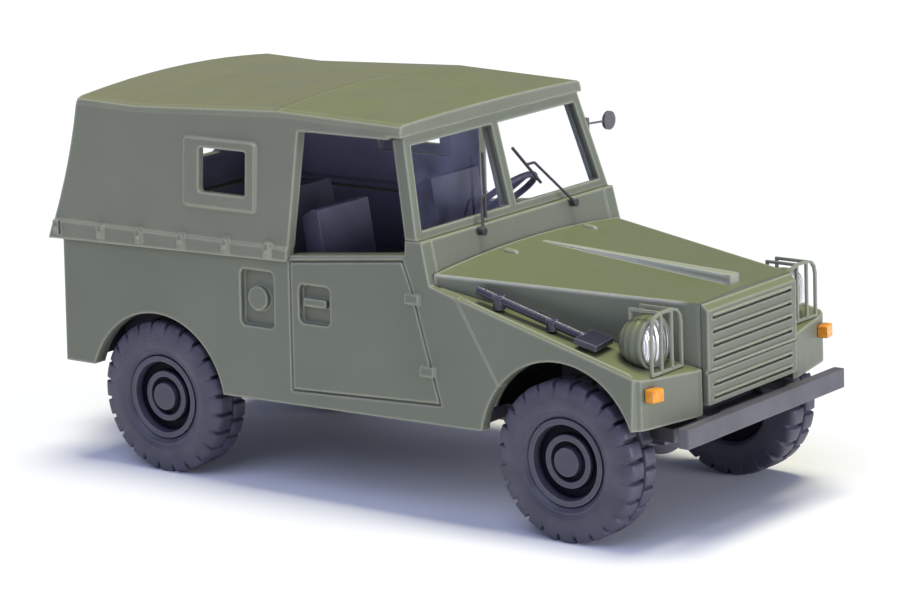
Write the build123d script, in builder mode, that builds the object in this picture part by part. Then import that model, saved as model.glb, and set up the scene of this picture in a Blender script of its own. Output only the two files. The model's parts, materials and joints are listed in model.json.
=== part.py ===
"""Moulded 1:87 scale model of an army 4x4 car with a canvas top, in millimetres.

+X is forward, +Y is the car's left and +Z is up. The origin is on the ground,
on the centre plane, midway between the two axles.
"""
import os
from math import atan, atan2, cos, degrees, radians, sin
from build123d import *

os.makedirs("parts", exist_ok=True)

FIT = 0.02              # air left between two pieces that are pressed together
WALL = 0.8              # wall of the green body mouldings

# Wheels and axles
WHEELBASE = 25.46
TRACK = 14.0            # between the middles of the two tyres of one axle
TYRE_R = 3.96           # to the tips of the lugs
TREAD_R = 3.54          # between the lugs
TREAD_W = 1.04          # half width over the lugs
TREAD_GAP = 0.08        # half width of the groove between the two rows of lugs
LUGS = 24               # on each half of the tread, the halves half a pitch apart
LUG_LONG = 0.74         # along the tread
CARCASS = (3.5, 1.15)   # radius and half width of the plain tyre under the lugs
SIDEWALL = (0.45, 0.11) # slope of its sides, towards the axle and along it
RIM_R = 2.15
AXLE_R = 0.5
AXLE_PLAY = 0.05        # round the turning axle, in its bearing
AXLE_REACH = TRACK / 2 - 0.22   # from the centre plane to the end of the axle pin
WELL_Y = TRACK / 2 - 1.3        # inner wall of the wheel wells
FRONT_X = WHEELBASE / 2
REAR_X = -WHEELBASE / 2
RIM_SECTION = ((0.0, -0.2), (0.51, -0.2), (0.51, -0.95), (RIM_R, -0.95), (RIM_R, 0.98), (1.88, 0.98),
               (1.76, 0.42), (1.38, 0.42), (1.3, 0.74), (1.02, 0.74), (0.96, 0.5), (0.74, 0.5),
               (0.7, 0.88), (0.0, 0.88))

# Body sides lean in by SIDE_LEAN for each millimetre up
SIDE_W = 8.363          # half width at SIDE_Z
SIDE_Z = 5.0
SIDE_LEAN = 0.039
SIDE_ANGLE = atan(SIDE_LEAN)

# Body tub
TUB_REAR_X = REAR_X - 6.47
BELT_Z = 12.3
TUB_SIDE = ((TUB_REAR_X, 5.28), (REAR_X - 1.27, 5.28), (REAR_X + 2.73, 4.72), (FRONT_X - 2.13, 5.02),
            (6.62, 11.28), (5.05, 11.7), (4.57, 13.8), (3.6, 13.8), (3.58, 13.08), (-3.72, 12.34),
            (-3.76, BELT_Z), (TUB_REAR_X, BELT_Z))
REAR_ARCH = (REAR_X + 0.03, 3.84, 4.57)     # x, z, radius
FRONT_ARCH = (FRONT_X - 0.12, 4.35, 4.53)
SPARE = (TUB_REAR_X - 1.92, 1.2, 9.3)       # middle of the spare wheel
DOOR = ((-3.75, 12.1), (3.45, 12.85), (3.98, 11.6), (5.74, 5.89), (-3.69, 5.49))
GROOVE = 0.13           # width and depth of the moulded panel gaps
HINGES = ((4.05, 11.0), (4.94, 7.53))
HANDLE = (-2.15, 10.0, 2.0, 1.97)       # x, z, length, height
FILLER = (-5.85, 9.94, 2.2, 2.88)
COWL_X = 5.0

# Front fenders, bonnet and grille
NOSE_X = FRONT_X + 5.14                         # the flat front behind the grille
FENDER_TOP = ((5.09, 11.7), (NOSE_X - 0.7, 8.5))       # the sloping top, side view
FENDER_LOW_Z = 6.08
BAY_W = SIDE_W - 0.643                          # half width inside the tub beside the bonnet
BONNET_REAR = (5.02, BAY_W - 2 * FIT, 12.23, 0.4)       # x, half width, z at the crease, crown
BONNET_FRONT = (NOSE_X - FIT, 3.97, 11.44, 0.1)
BONNET_LOW_Z = 8.3
# Rib on the bonnet: x, half width, z of its foot and top
RIB = ((6.0, 0.12, 12.2, 12.56), (NOSE_X - 0.62, 0.4, 11.3, 12.04))
FENDER_PLAN = ((5.4, BAY_W - 0.12), (NOSE_X, 3.99), (NOSE_X + 0.07, 3.99), (NOSE_X + 0.07, 4.39),
               (NOSE_X - 0.56, BAY_W - 0.12), (NOSE_X - 0.68, BAY_W + 0.21), (NOSE_X - 0.89, BAY_W + 0.4),
               (NOSE_X - 1.37, SIDE_W + 0.64), (5.4, SIDE_W + 0.64))
FENDER_VOID = ((4.0, BAY_W - 0.3), (NOSE_X - 1.52, BAY_W - 0.3), (NOSE_X - 0.82, 4.2), (NOSE_X - 0.77, 3.0),
               (4.0, 3.0))
SPLIT = ((5.54, 13.0), (FRONT_X - 2.11, 5.0))   # the seam between tub and fender
GRILLE_X = NOSE_X
GRILLE_W = 3.85
GRILLE_LOW_Z = 6.54
GRILLE_DEEP = 0.38
SLOTS_Z = (10.72, 10.03, 9.36, 8.67, 7.47, 6.83)
GRILLE_SEAM_Z = 8.13

# Windscreen
SCREEN_LOW = (4.28, SIDE_W - 0.363, 13.82)      # x, half width, z
SCREEN_TOP = (3.07, SIDE_W - 1.179, 18.66)
SCREEN_BARS = (0.42, 0.46, 0.5)         # width of the lower, upper and side bars
SCREEN_POST = 0.5
SCREEN_DEEP = 0.68

# Canvas top: x, half width and z at the roof edge, crown of the roof
ROOF_Z = SCREEN_TOP[2] + 0.62
ROOF_STATIONS = ((TUB_REAR_X - 1.3, SIDE_W - 0.533, ROOF_Z, 0.45),
                 (REAR_X - 1.27, SIDE_W - 0.643, ROOF_Z - 0.2, 0.4),
                 (-4.5, SIDE_W - 0.763, ROOF_Z + 0.24, 0.38),
                 (SCREEN_TOP[0] + 0.05, SIDE_W - 0.893, ROOF_Z + 0.01, 0.12))
HEADER_X = SCREEN_TOP[0] - 0.65         # rear of the solid roof edge over the windscreen
ROOF_ROUND = 0.35
HEM = (SIDE_W - 0.063, SIDE_W - 0.163, 12.65)   # half width of the hem and above it, z at its top
CANVAS = 0.55
CANVAS_REAR = ((TUB_REAR_X - 0.64, 11.75), (TUB_REAR_X + 0.6, 15.3), (TUB_REAR_X + 1.42, ROOF_Z + 0.12))
CANVAS_FRONT = ((-3.82, 11.0), (-3.2, SCREEN_TOP[2] - 0.11))
CANVAS_LEAN = atan2(0.55, ROOF_Z - HEM[2])
SIDE_WINDOW = (-7.92, 16.17, 3.1, 2.25)         # x, z, length, height
WINDOW_FRAME = (-8.15, 16.02, 4.7, 3.47)
WINDOW_POCKET = (-7.85, 16.1, 4.9, 3.1)         # the wider recess on the inside
REAR_WINDOW = (0.0, 15.6, 8.0, 2.6)             # y, z, length, height
STRAPS_X = [TUB_REAR_X + run for run in (0.02, 3.06, 5.73, 8.58, 11.54, 14.3)]


def write(part, node):
    """Label a finished piece and export it."""
    part.label = node
    export_step(part, f"parts/{node}.step")


def xz_face(outline, y=0.0):
    """A face with an (x, z) outline in the upright plane at the given y."""
    with BuildSketch(Plane.XZ.offset(-y)) as drawn:
        Polygon(*outline, align=None)
    return drawn.sketch


def xy_face(outline, z=0.0):
    """A face with an (x, y) outline in the level plane at the given z."""
    with BuildSketch(Plane.XY.offset(z)) as drawn:
        Polygon(*outline, align=None)
    return drawn.sketch


def across(x):
    """The upright plane across the car at x, drawn in y and z."""
    return Plane(origin=(x, 0, 0), x_dir=(0, 1, 0), z_dir=(1, 0, 0))


def block(x, y, z, mode=Mode.ADD):
    """A box between pairs of x, y and z limits."""
    middle = [(a + b) / 2 for a, b in (x, y, z)]
    with Locations(tuple(middle)):
        Box(x[1] - x[0], y[1] - y[0], z[1] - z[0], mode=mode)


def rod(start, end, radius):
    """A round bar from one point to another."""
    run = Vector(*end) - Vector(*start)
    with Locations(Plane(origin=start, z_dir=run).location):
        Cylinder(radius, run.length, align=(Align.CENTER, Align.CENTER, Align.MIN))


def both_sides(part, node):
    """Write a left-hand piece and its mirror image."""
    write(part, f"{node}_left")
    write(mirror(part, about=Plane.XZ), f"{node}_right")


def side_y(z):
    """Half width over the leaning body sides at a height."""
    return SIDE_W - SIDE_LEAN * (z - SIDE_Z)


def lean_block(x, inset, mode, z=(0.0, 24.0)):
    """A block between two x limits whose sides lean in like the body's, moved in by an inset."""
    low, high = [side_y(level) - inset for level in z]
    with BuildSketch(across(x[0])) as drawn:
        Polygon((-low, z[0]), (low, z[0]), (high, z[1]), (-high, z[1]), align=None)
    extrude(to_extrude=drawn.sketch, amount=x[1] - x[0], mode=mode)


def side_plane(x, z):
    """The plane of the left body side with its middle at x and z."""
    return Plane(origin=(x, side_y(z), z), x_dir=(-1, 0, 0), z_dir=(0, cos(SIDE_ANGLE), sin(SIDE_ANGLE)))


def fender_z(x):
    """Height of the sloping fender top at x."""
    (x0, z0), (x1, z1) = FENDER_TOP
    return z0 + (z1 - z0) * (x - x0) / (x1 - x0)


# Running gear, drawn lying down with the axle along Z
def many_sided(radius, z, turn=0.0):
    """A LUGS-sided face of a given outer radius at z, a corner at the turn angle."""
    with BuildSketch(Plane.XY.offset(z)) as drawn:
        RegularPolygon(radius, LUGS, rotation=turn)
    return drawn.sketch


def lugged(z, turn):
    """The outline of half the tread at z: a ring of lugs, the first one at the turn angle."""
    outline = []
    for n in range(LUGS):
        for radius, side in ((TREAD_R, -1), (TYRE_R, -1), (TYRE_R, 1), (TREAD_R, 1)):
            angle = radians(turn + n * 360 / LUGS) + side * atan(LUG_LONG / 2 / radius)
            outline.append((radius * cos(angle), radius * sin(angle)))
    with BuildSketch(Plane.XY.offset(z)) as drawn:
        Polygon(*outline, align=None)
    return drawn.sketch


PITCH = 360 / LUGS
with BuildPart() as tyre:
    extrude(to_extrude=many_sided(CARCASS[0], 0.0, PITCH / 2), amount=CARCASS[1], both=True)
    for face in tyre.faces().filter_by(Axis.Z):
        chamfer(face.edges(), SIDEWALL[0], SIDEWALL[1], reference=face)
    for side, turn in ((1, 0.0), (-1, PITCH / 2)):
        extrude(to_extrude=lugged(side * TREAD_GAP, turn), amount=side * (TREAD_W - TREAD_GAP))
    bore = (RIM_R + FIT) / cos(radians(PITCH / 2))
    extrude(to_extrude=many_sided(bore, -3.0), amount=6.0, mode=Mode.SUBTRACT)

with BuildPart() as rim:
    with BuildSketch(Plane.XY):
        Polygon(*RIM_SECTION, align=None)
    revolve(axis=Axis.Y)

ALONG_Y = Rot(-90, 0, 0)
for end, axle_x in (("front", FRONT_X), ("rear", REAR_X)):
    with BuildPart() as axle_pin:
        rod((axle_x, -AXLE_REACH, TYRE_R), (axle_x, AXLE_REACH, TYRE_R), AXLE_R)
    write(axle_pin.part, f"axle_{end}")
    seat = Pos(axle_x, TRACK / 2, TYRE_R)
    both_sides(seat * ALONG_Y * tyre.part, f"tyre_{end}")
    both_sides(seat * rim.part, f"rim_{end}")

spare_seat = Pos(*SPARE) * Rot(0, 0, 90)
write(spare_seat * ALONG_Y * tyre.part, "spare_tyre")
write(spare_seat * rim.part, "spare_rim")

with BuildPart() as spare_carrier:
    rim_face_x = SPARE[0] + 0.95
    rod((TUB_REAR_X - FIT, *SPARE[1:]), (rim_face_x + FIT, *SPARE[1:]), 0.95)
    rod((rim_face_x + 0.1, *SPARE[1:]), (rim_face_x - 0.55, *SPARE[1:]), 0.45)
write(spare_carrier.part, "spare_carrier")

# Chassis
CHASSIS_W = WELL_Y - 0.4
CHASSIS_REAR_X = TUB_REAR_X + 1.0
CHASSIS_X = NOSE_X - 0.67
BUMPER_X = NOSE_X + 0.6
RAIL_X = FRONT_X + 2.6                          # front of the side rails, behind the bumper
with BuildPart() as chassis:
    sill_w = SIDE_W - WALL - 0.063
    block((CHASSIS_REAR_X, CHASSIS_X), (-CHASSIS_W, CHASSIS_W), (4.9, 5.6))
    block((REAR_X + 5.13, FRONT_X - 5.33), (-sill_w, sill_w), (4.95, 5.6))
    for side in (1, -1):
        rail = (side * 2.9 - 0.5, side * 2.9 + 0.5)
        block((CHASSIS_REAR_X, RAIL_X), rail, (4.1, 4.9))
        block((CHASSIS_X - 0.5, BUMPER_X - FIT), rail, (4.9, 5.9))
    block((CHASSIS_REAR_X, CHASSIS_REAR_X + 0.8), (-3.4, 3.4), (4.1, 4.9))
    block((-3.2, 3.2), (-1.7, 1.7), (3.4, 4.9))
    block((FRONT_X - 3.73, FRONT_X + 3.87), (-2.9, 2.9), (5.6, 10.2))
    rod((REAR_X, 0, 4.1), (FRONT_X, 0, 4.1), 0.3)
    for axle_x in (FRONT_X, REAR_X):
        rod((axle_x, -CHASSIS_W, TYRE_R), (axle_x, CHASSIS_W, TYRE_R), 0.82)
        with Locations((axle_x, 0, TYRE_R)):
            Sphere(1.4)
        for side in (1, -1):
            hanger = sorted((side * (CHASSIS_W - 1.2), side * CHASSIS_W))
            block((axle_x - 0.95, axle_x + 0.95), hanger, (TYRE_R, 4.9))
    with Locations(*[Pos(x, 0, TYRE_R) * Rot(90, 0, 0) for x in (FRONT_X, REAR_X)]):
        Cylinder(AXLE_R + AXLE_PLAY, 3 * CHASSIS_W, mode=Mode.SUBTRACT)
write(chassis.part, "chassis")

with BuildPart() as bumper:
    block((BUMPER_X, BUMPER_X + 0.61), (-6.9, 6.9), (5.2, 6.13))
    fillet(bumper.edges().filter_by(Axis.Z), 0.12)
write(bumper.part, "bumper")

with BuildPart() as tow_hitch:
    plate_x = CHASSIS_REAR_X - 0.65
    block((plate_x, CHASSIS_REAR_X - FIT), (-0.9, 0.9), (4.15, 5.2))
    block((plate_x - 0.55, plate_x), (-0.4, 0.4), (4.45, 4.95))
    with Locations((plate_x - 0.75, 0, 4.7)):
        Cylinder(0.75, 0.5)
        Cylinder(0.38, 0.5, mode=Mode.SUBTRACT)
write(tow_hitch.part, "tow_hitch")

# Body tub, drawn as its left half and mirrored
with BuildPart() as body_tub:
    extrude(to_extrude=xz_face(TUB_SIDE), amount=-12.0)
    lean_block((TUB_REAR_X - 5.0, NOSE_X + 5.0), 0.0, Mode.INTERSECT)
    lean_block((TUB_REAR_X + WALL, FRONT_X), WALL, Mode.SUBTRACT)
    block((COWL_X, FRONT_X), (-1.0, BAY_W), (0.0, 20.0), Mode.SUBTRACT)
    for arch_x, arch_z, arch_r in (REAR_ARCH, FRONT_ARCH):
        with Locations(Pos(arch_x, SIDE_W, arch_z) * Rot(90, 0, 0)):
            Cylinder(arch_r, 4.0, mode=Mode.SUBTRACT)
    fillet(body_tub.faces().sort_by(Axis.X)[0].edges().sort_by(Axis.Y)[-1], 0.35)
    with BuildSketch(side_plane(0.0, SIDE_Z)) as door_gap:
        Polygon(*[(-x, (z - SIDE_Z) / cos(SIDE_ANGLE)) for x, z in DOOR], align=None)
        offset(amount=-GROOVE, mode=Mode.SUBTRACT)
    extrude(to_extrude=door_gap.sketch, amount=-GROOVE, mode=Mode.SUBTRACT)
    for recess_x, recess_z, length, height in (HANDLE, FILLER):
        with BuildSketch(side_plane(recess_x, recess_z)) as recess:
            RectangleRounded(length, height, 0.3)
        extrude(to_extrude=recess.sketch, amount=-0.35, mode=Mode.SUBTRACT)
    with Locations(side_plane(HANDLE[0], HANDLE[1] + 0.1).offset(-0.2).location):
        Box(1.4, 0.4, 0.32)
    with Locations(side_plane(FILLER[0], FILLER[1]).offset(-0.2).location):
        Cylinder(0.62, 0.32)
    for hinge_x, hinge_z in HINGES:
        with Locations(side_plane(hinge_x, hinge_z).location):
            Box(0.84, 0.48, 0.32)
    mirror(about=Plane.XZ)
write(body_tub.part, "body_tub")

with BuildPart() as cowl:
    scuttle = ((3.55, 13.8), (4.55, 13.8), (COWL_X, 11.9), (COWL_X, 5.65), (4.6, 5.65), (4.6, 11.6),
               (3.55, 11.6))
    extrude(to_extrude=xz_face(scuttle), amount=9.0, both=True)
    lean_block((0.0, 10.0), WALL + FIT, Mode.INTERSECT)
write(cowl.part, "cowl")

# Front fenders, the left one drawn
with BuildPart() as fender_void:
    extrude(to_extrude=xy_face(FENDER_VOID), amount=14.0)
    ahead = NOSE_X + 0.6
    under = [(x, fender_z(x) - WALL) for x in (3.0, ahead)]
    extrude(to_extrude=xz_face((*under, (ahead, 0.0), (3.0, 0.0))), amount=-12.0, mode=Mode.INTERSECT)

with BuildPart() as fender:
    extrude(to_extrude=xy_face(FENDER_PLAN), amount=14.0)
    slope = [(x, fender_z(x)) for x in (4.5, ahead)]
    extrude(to_extrude=xz_face((*slope, (ahead, FENDER_LOW_Z), (4.5, FENDER_LOW_Z))), amount=-12.0,
            mode=Mode.INTERSECT)
    lean_block((0.0, NOSE_X + 2.0), 0.0, Mode.INTERSECT)
    add(fender_void.part, mode=Mode.SUBTRACT)
    behind_seam = (SPLIT[0], SPLIT[1], (3.0, 5.0), (3.0, 13.0))
    extrude(to_extrude=xz_face(behind_seam, BAY_W - FIT), amount=-3.0, mode=Mode.SUBTRACT)
    with Locations(Pos(FRONT_ARCH[0], SIDE_W, FRONT_ARCH[1]) * Rot(90, 0, 0)):
        Cylinder(FRONT_ARCH[2], 8.0, mode=Mode.SUBTRACT)
both_sides(fender.part, "fender")


def bonnet_section(x, half, crease_z, crown, low_z):
    """A bonnet section: upright sides and an arched top."""
    with BuildSketch(across(x)) as drawn:
        with BuildLine():
            Polyline((half, crease_z), (half, low_z), (-half, low_z), (-half, crease_z))
            ThreePointArc((-half, crease_z), (0, crease_z + crown), (half, crease_z))
        make_face()
    return drawn.sketch


with BuildPart() as bonnet:
    loft(sections=[bonnet_section(*end, BONNET_LOW_Z) for end in (BONNET_REAR, BONNET_FRONT)], ruled=True)
    inside = [bonnet_section(x, half - 0.7, crease_z - 0.7, crown, BONNET_LOW_Z - 1.0)
              for x, half, crease_z, crown in (BONNET_REAR, BONNET_FRONT)]
    loft(sections=inside, ruled=True, mode=Mode.SUBTRACT)
    rib_ends = []
    for rib_x, rib_half, foot_z, rib_z in RIB:
        with BuildSketch(across(rib_x)) as rib_end:
            Polygon((-rib_half, foot_z), (rib_half, foot_z), (rib_half, rib_z), (-rib_half, rib_z),
                    align=None)
        rib_ends.append(rib_end.sketch)
    loft(sections=rib_ends, ruled=True)
write(bonnet.part, "bonnet")

with BuildPart() as grille:
    brow = ((GRILLE_X, 11.4), (GRILLE_X + GRILLE_DEEP, 11.1), (GRILLE_X + GRILLE_DEEP, GRILLE_LOW_Z),
            (GRILLE_X, GRILLE_LOW_Z))
    extrude(to_extrude=xz_face(brow), amount=GRILLE_W, both=True)
    front = (GRILLE_X + GRILLE_DEEP - 0.24, GRILLE_X + 1.0)
    for slot_z in SLOTS_Z:
        block(front, (0.4 - GRILLE_W, GRILLE_W - 0.4), (slot_z - 0.08, slot_z + 0.08), Mode.SUBTRACT)
    seam = (GRILLE_SEAM_Z - 0.06, GRILLE_SEAM_Z + 0.06)
    block((front[0] + 0.12, front[1]), (-5.0, 5.0), seam, Mode.SUBTRACT)
write(grille.part, "grille")

# Windscreen, drawn in its own leaning plane
SCREEN_LEAN = atan2(SCREEN_LOW[0] - SCREEN_TOP[0], SCREEN_TOP[2] - SCREEN_LOW[2])
SCREEN_PLANE = Plane(origin=(SCREEN_LOW[0], 0, SCREEN_LOW[2]), x_dir=(0, 1, 0),
                     z_dir=(cos(SCREEN_LEAN), 0, sin(SCREEN_LEAN)))
SCREEN_HIGH = (SCREEN_TOP[2] - SCREEN_LOW[2]) / cos(SCREEN_LEAN)


def screen_half(height):
    """Half width of the windscreen frame at a height in its plane."""
    return SCREEN_LOW[1] + (SCREEN_TOP[1] - SCREEN_LOW[1]) * height / SCREEN_HIGH


def pane(margin):
    """The left pane, standing a margin inside the frame's bars."""
    low, high = SCREEN_BARS[0] + margin, SCREEN_HIGH - SCREEN_BARS[1] - margin
    inner = SCREEN_POST / 2 + margin
    side_bar = SCREEN_BARS[2] + margin
    return ((inner, low), (screen_half(low) - side_bar, low), (screen_half(high) - side_bar, high),
            (inner, high))


with BuildPart() as windscreen_frame:
    with BuildSketch(SCREEN_PLANE) as frame_face:
        Polygon((-screen_half(0), 0), (screen_half(0), 0), (screen_half(SCREEN_HIGH), SCREEN_HIGH),
                (-screen_half(SCREEN_HIGH), SCREEN_HIGH), align=None)
        Polygon(*pane(0.0), align=None, mode=Mode.SUBTRACT)
        mirror(Polygon(*pane(0.0), align=None, mode=Mode.PRIVATE), about=Plane.YZ, mode=Mode.SUBTRACT)
    extrude(to_extrude=frame_face.sketch, amount=-SCREEN_DEEP)
    block((0.0, 6.0), (-10.0, 10.0), (12.0, SCREEN_LOW[2]), Mode.SUBTRACT)
write(windscreen_frame.part, "windscreen_frame")

with BuildPart() as windscreen_glass:
    with BuildSketch(SCREEN_PLANE.offset(-0.25)) as glass_face:
        Polygon(*pane(FIT), align=None)
        mirror(about=Plane.YZ)
    extrude(to_extrude=glass_face.sketch, amount=-0.15)
write(windscreen_glass.part, "windscreen_glass")


# Canvas top
def canvas_section(x, half, edge_z, crown, inset):
    """A section of the canvas top: upright hem, leaning sides, eased roof edges, arched roof."""
    hem, above, hem_z = HEM
    top, edge_z = half - inset, edge_z - inset
    right = [(hem - inset, 11.0), (hem - inset, hem_z), (above - inset, hem_z + 0.1),
             (top, edge_z - ROOF_ROUND), (top - 0.3 * ROOF_ROUND, edge_z - 0.3 * ROOF_ROUND),
             (top - ROOF_ROUND, edge_z)]
    left = [(-y, z) for y, z in reversed(right)]
    with BuildSketch(across(x)) as drawn:
        with BuildLine():
            ThreePointArc(right[-1], (0, edge_z + crown), left[0])
            Polyline(*left, *right)
        make_face()
    return drawn.sketch


def canvas_plane(x, z, inset):
    """The plane of the left canvas side at x and z, moved in by an inset."""
    y = HEM[1] - (z - HEM[2]) * sin(CANVAS_LEAN) / cos(CANVAS_LEAN)
    outside = Plane(origin=(x, y, z), x_dir=(-1, 0, 0), z_dir=(0, cos(CANVAS_LEAN), sin(CANVAS_LEAN)))
    return outside.offset(-inset)


def behind_canvas(inset):
    """The (x, z) region behind the hollow-curved rear of the canvas, moved in by an inset."""
    low, middle, high = [(x + inset, z) for x, z in CANVAS_REAR]
    with BuildSketch(Plane.XZ) as drawn:
        with BuildLine():
            ThreePointArc(low, middle, high)
            Polyline(high, (high[0], 23.0), (low[0] - 8.0, 23.0), (low[0] - 8.0, 9.0), (low[0], 9.0), low)
        make_face()
    return drawn.sketch


with BuildPart() as window_frame:
    frame_x, frame_z, length, height = WINDOW_FRAME
    with BuildSketch(canvas_plane(frame_x, frame_z, -0.14)) as border:
        RectangleRounded(length, height, 0.22)
    extrude(to_extrude=border.sketch, amount=-0.4)

with BuildPart() as window_pocket:
    pocket_x, pocket_z, length, height = WINDOW_POCKET
    with BuildSketch(canvas_plane(pocket_x, pocket_z, 0.25)) as recess:
        RectangleRounded(length, height, 0.18)
    extrude(to_extrude=recess.sketch, amount=-1.0)

with BuildPart() as canvas_void:
    inner_rows = [(min(x, HEADER_X), half, edge_z, crown) for x, half, edge_z, crown in ROOF_STATIONS]
    loft(sections=[canvas_section(*row, CANVAS) for row in inner_rows], ruled=True)
    extrude(to_extrude=behind_canvas(CANVAS), amount=12.0, both=True, mode=Mode.SUBTRACT)

with BuildPart() as canvas_top:
    loft(sections=[canvas_section(*row, 0.0) for row in ROOF_STATIONS], ruled=True)
    extrude(to_extrude=behind_canvas(0.0), amount=12.0, both=True, mode=Mode.SUBTRACT)
    add(window_frame.part)
    add(mirror(window_frame.part, about=Plane.XZ))
    for strap_x in STRAPS_X:
        for side in (1, -1):
            with Locations((strap_x, side * HEM[0], 12.62 + 0.015 * strap_x)):
                Box(0.4, 0.3, 0.72)
    add(canvas_void.part, mode=Mode.SUBTRACT)
    add(window_pocket.part, mode=Mode.SUBTRACT)
    add(mirror(window_pocket.part, about=Plane.XZ), mode=Mode.SUBTRACT)
    lean_block((TUB_REAR_X - FIT, 4.0), -FIT, Mode.SUBTRACT, (8.0, BELT_Z + FIT))
    hem_cut = ((TUB_REAR_X - 2.8, 8.0), (TUB_REAR_X - 2.8, 11.65), (4.0, 12.22), (4.0, 8.0))
    extrude(to_extrude=xz_face(hem_cut), amount=12.0, both=True, mode=Mode.SUBTRACT)
    header_z = CANVAS_FRONT[1][1]
    door_cut = (*CANVAS_FRONT, (5.0, header_z), (5.0, 11.0))
    extrude(to_extrude=xz_face(door_cut), amount=12.0, both=True, mode=Mode.SUBTRACT)
    block((HEADER_X - 0.1, 5.0), (-12.0, 12.0), (SCREEN_TOP[2] - 0.66, SCREEN_TOP[2] + FIT),
          Mode.SUBTRACT)
    win_x, win_z, length, height = SIDE_WINDOW
    with BuildSketch(Plane.XZ) as side_window:
        with Locations((win_x, win_z)):
            RectangleRounded(length, height, 0.15)
    extrude(to_extrude=side_window.sketch, amount=12.0, both=True, mode=Mode.SUBTRACT)
    win_y, win_z, length, height = REAR_WINDOW
    with BuildSketch(across(TUB_REAR_X - 1.8)) as rear_window:
        with Locations((win_y, win_z)):
            RectangleRounded(length, height, 0.4)
    extrude(to_extrude=rear_window.sketch, amount=5.0, mode=Mode.SUBTRACT)
write(canvas_top.part, "canvas_top")

with BuildPart() as side_pane:
    pocket_x, pocket_z, length, height = WINDOW_POCKET
    with BuildSketch(canvas_plane(pocket_x, pocket_z, 0.3)) as pane_face:
        Rectangle(length - 0.3, height - 0.3)
    extrude(to_extrude=pane_face.sketch, amount=-0.15)

with BuildPart() as rear_pane:
    win_y, win_z, length, height = REAR_WINDOW
    block((TUB_REAR_X - 0.8, TUB_REAR_X + 3.2), (win_y - length / 2 - 0.4, win_y + length / 2 + 0.4),
          (win_z - height / 2 - 0.4, win_z + height / 2 + 0.4))
    extrude(to_extrude=behind_canvas(CANVAS + 0.2), amount=12.0, both=True, mode=Mode.INTERSECT)
    extrude(to_extrude=behind_canvas(CANVAS + 0.05), amount=12.0, both=True, mode=Mode.SUBTRACT)

with BuildPart() as canvas_panes:
    add(side_pane.part)
    add(mirror(side_pane.part, about=Plane.XZ))
    add(rear_pane.part)
write(canvas_panes.part, "canvas_panes")

# Cabin
with BuildPart() as cabin_floor:
    box_x = (REAR_X - 4.87, REAR_X + 4.93)
    floor_w = SIDE_W - WALL - 0.113
    block((CHASSIS_REAR_X, 4.55), (0.3 - WELL_Y, WELL_Y - 0.3), (5.62, 6.05))
    for side in (1, -1):
        block((box_x[1], 4.55), sorted((side * (WELL_Y - 0.5), side * floor_w)), (5.62, 6.05))
        block(box_x, sorted((side * (WELL_Y - 0.35), side * (floor_w - 0.1))), (5.62, 9.3))
        well = sorted((side * WELL_Y, side * (SIDE_W + 0.2)))
        block((box_x[0] + 0.4, box_x[1] - 0.4), well, (5.0, 8.9), Mode.SUBTRACT)
write(cabin_floor.part, "cabin_floor")

with BuildPart() as seat:
    cushion = ((-2.9, 6.07), (0.9, 6.07), (0.9, 9.0), (0.6, 9.3), (-2.2, 8.9), (-3.0, 14.4), (-3.4, 14.4),
               (-4.0, 14.0))
    extrude(to_extrude=xz_face(cushion, 2.6), amount=-4.0)
both_sides(seat.part, "seat")

with BuildPart() as rear_bench:
    bench = ((-11.6, 6.07), (-8.2, 6.07), (-8.2, 8.9), (-11.0, 8.7), (-11.9, 13.2), (-12.6, 13.2))
    extrude(to_extrude=xz_face(bench), amount=WELL_Y - 0.5, both=True)
write(rear_bench.part, "rear_bench")

with BuildPart() as dashboard:
    board = ((2.4, 12.9), (3.53, 12.9), (3.53, 11.58), (4.58, 11.58), (4.58, 9.6), (3.6, 9.6), (2.4, 10.8))
    extrude(to_extrude=xz_face(board), amount=SIDE_W - WALL - 0.413, both=True)
write(dashboard.part, "dashboard")

WHEEL_HUB = (0.78, 3.9, 13.75)
WHEEL_AXIS = (-0.62, 0.0, 0.785)
with BuildPart() as steering_wheel:
    with Locations(Plane(origin=WHEEL_HUB, z_dir=WHEEL_AXIS).location):
        Torus(1.75, 0.17)
        Box(3.4, 0.3, 0.2)
        Cylinder(0.4, 0.3)
    column_end = [hub - 2.24 * a for hub, a in zip(WHEEL_HUB, WHEEL_AXIS)]
    rod(WHEEL_HUB, column_end, 0.25)
write(steering_wheel.part, "steering_wheel")

# Lamps
LAMP = (NOSE_X - 1.27, 5.85, 9.8)       # x of the rim, y, z
LAMP_R = 1.3
LENS_R = 1.12
with BuildPart() as headlamp:
    with BuildSketch(Plane.XY) as shell:
        with BuildLine():
            Polyline((0.0, 0.0), (0.0, LAMP_R), (-0.35, LAMP_R))
            ThreePointArc((-0.35, LAMP_R), (-1.3, 1.0), (-1.95, 0.0))
            Line((-1.95, 0.0), (0.0, 0.0))
        make_face()
    revolve(axis=Axis.X)
lamp_run = (LAMP[0] - 8.0, LAMP[0] + 2.0)
below_fender = (*[(x, fender_z(x) + FIT) for x in lamp_run], (lamp_run[1], 5.0), (lamp_run[0], 5.0))
with BuildPart() as headlamp_seated:
    add(Pos(*LAMP) * headlamp.part)
    extrude(to_extrude=xz_face(below_fender), amount=-12.0, mode=Mode.SUBTRACT)
both_sides(headlamp_seated.part, "headlamp")

with BuildPart() as lens:
    with BuildSketch(Plane.XY) as dome:
        with BuildLine():
            bulge = CenterArc((0.42 - 2 * LENS_R, 0.0), 2 * LENS_R, 0, 30)
            Polyline(bulge @ 1, (FIT, LENS_R), (FIT, 0.0), bulge @ 0)
        make_face()
    revolve(axis=Axis.X)
both_sides(Pos(*LAMP) * lens.part, "lens")

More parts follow.
